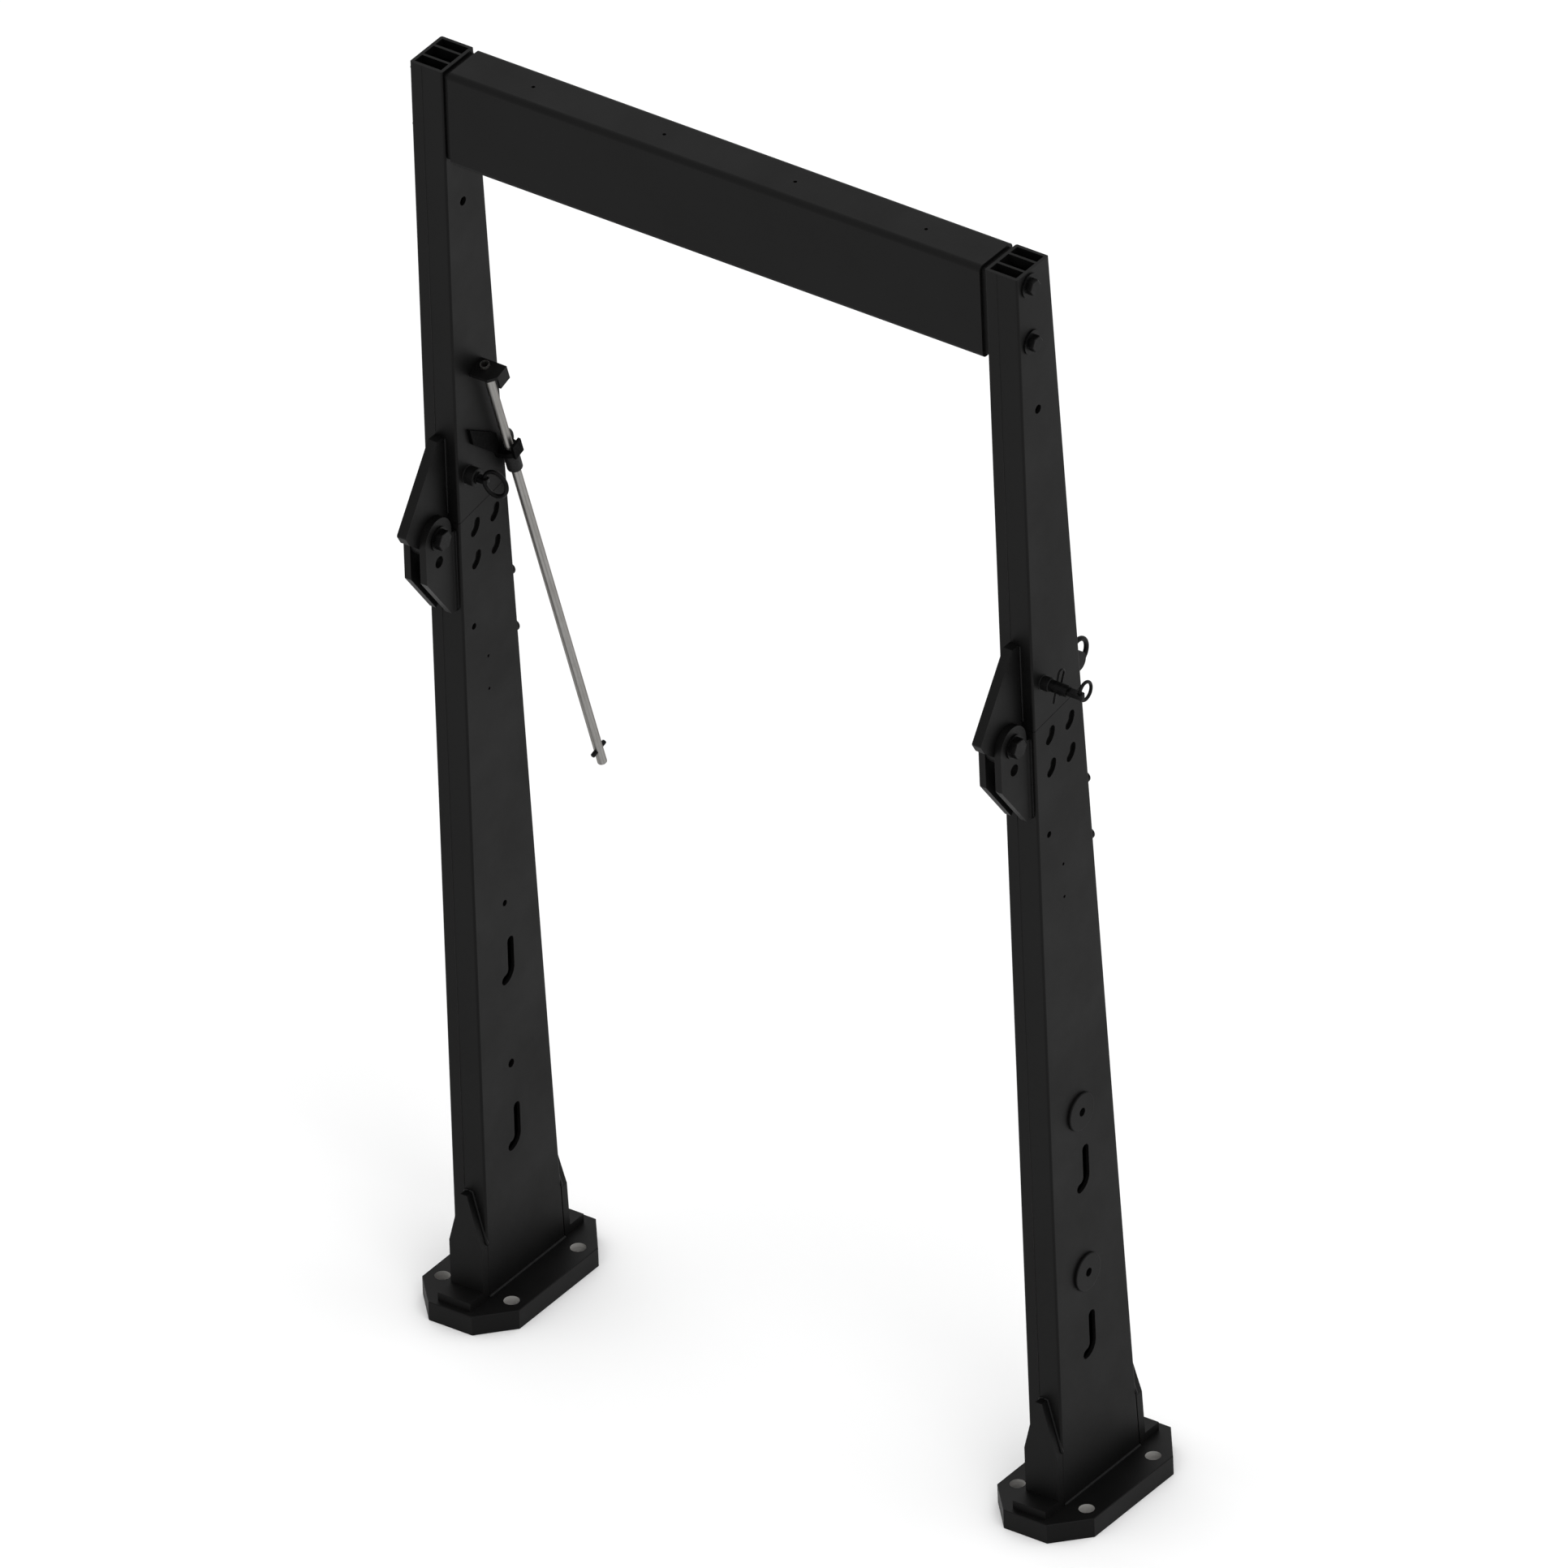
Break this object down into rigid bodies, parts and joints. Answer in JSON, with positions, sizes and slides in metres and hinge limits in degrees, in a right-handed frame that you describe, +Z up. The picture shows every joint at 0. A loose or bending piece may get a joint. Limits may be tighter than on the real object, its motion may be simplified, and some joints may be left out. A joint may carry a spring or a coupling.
{
  "type": "folding ladder rack",
  "caption": "Folding ladder rack: tapered box legs on octagonal base plates carry a bolted crossbeam; the upper frame folds forward on side hinges with lock pins.",
  "frame": {"origin": "on the deck plane, midway between the two base plates' hole rectangles", "axes": "+X along the crossbeam to the right leg, +Y to the rear, +Z up"},
  "size_m": [1.0596, 0.3647, 1.884],
  "materials": {
    "powder_coat": "matte black powder coat",
    "black_oxide": "satin black coated steel",
    "stainless": "brushed stainless",
    "collar_rubber": "matte rubber"
  },
  "bodies": {
    "base_frame": {"base_plate_left": "powder_coat", "base_plate_right": "powder_coat", "front_foot_left": "powder_coat", "front_foot_right": "powder_coat", "rear_foot_left": "powder_coat", "rear_foot_right": "powder_coat", "lower_leg_left": "powder_coat", "lower_leg_right": "powder_coat", "tongue_left": "powder_coat", "tongue_right": "powder_coat", "hinge_lugs_left": "powder_coat", "hinge_lugs_right": "powder_coat", "hinge_pad_left": "powder_coat", "hinge_pad_right": "powder_coat", "side_bosses_left": "powder_coat", "side_bosses_right": "powder_coat", "rope_studs_left": "black_oxide", "rope_studs_right": "black_oxide", "pivot_bolt_left": "black_oxide", "pivot_bolt_right": "black_oxide", "pivot_washers_left": "black_oxide", "pivot_washers_right": "black_oxide", "pivot_nut_left": "black_oxide", "pivot_nut_right": "black_oxide"},
    "upper_frame": {"upper_leg_left": "powder_coat", "upper_leg_right": "powder_coat", "top_ribs_left": "powder_coat", "top_ribs_right": "powder_coat", "hinge_gusset_left": "powder_coat", "hinge_gusset_right": "powder_coat", "guide_sleeve_left": "powder_coat", "guide_sleeve_right": "powder_coat", "rear_eye_left": "black_oxide", "rear_eye_right": "black_oxide", "end_plug_left": "powder_coat", "end_plug_right": "powder_coat", "beam_bolts_left": "black_oxide", "beam_bolts_right": "black_oxide", "beam_washers_left": "black_oxide", "beam_washers_right": "black_oxide", "beam_nuts_left": "black_oxide", "beam_nuts_right": "black_oxide", "crossbeam": "powder_coat", "rod_bracket": "powder_coat", "rod_guide": "collar_rubber"},
    "lock_pin_left": {"lock_pin_left": "black_oxide"},
    "lock_pin_right": {"lock_pin_right": "black_oxide"},
    "pull_ring_left": {"pull_ring_left": "black_oxide"},
    "pull_ring_right": {"pull_ring_right": "black_oxide"},
    "hairpin_clip": {"hairpin_clip": "black_oxide"},
    "rod": {"rod_tube": "stainless", "rod_cross_pin": "black_oxide", "rod_collar": "collar_rubber"}
  },
  "joints": [
    {"name": "fold", "type": "hinge", "parent": "base_frame", "child": "upper_frame", "pos_m": [0, -0.117, 1.1945], "axis": [1, 0, 0], "range_deg": [0, 135]},
    {"name": "lock_pin_left_slide", "type": "slide", "parent": "upper_frame", "child": "lock_pin_left", "axis": [1, 0, 0], "range_m": [-0.006, 0.017]},
    {"name": "lock_pin_right_slide", "type": "slide", "parent": "upper_frame", "child": "lock_pin_right", "axis": [1, 0, 0], "range_m": [-0.006, 0.017]},
    {"name": "pull_ring_left_swing", "type": "hinge", "parent": "lock_pin_left", "child": "pull_ring_left", "pos_m": [-0.3977, -0.059, 1.2626], "axis": [0, 0, 1], "range_deg": [-80, 80]},
    {"name": "pull_ring_right_swing", "type": "hinge", "parent": "lock_pin_right", "child": "pull_ring_right", "pos_m": [0.53, -0.059, 1.2626], "axis": [0, 0, 1], "range_deg": [-165, 0]},
    {"name": "hairpin_pull", "type": "slide", "parent": "lock_pin_right", "child": "hairpin_clip", "axis": [0, 0.3256, 0.9455], "range_m": [0, 0.032]},
    {"name": "rod_slide", "type": "slide", "parent": "upper_frame", "child": "rod", "axis": [0, 0.288, -0.9576], "range_m": [0, 0.175]}
  ]
}
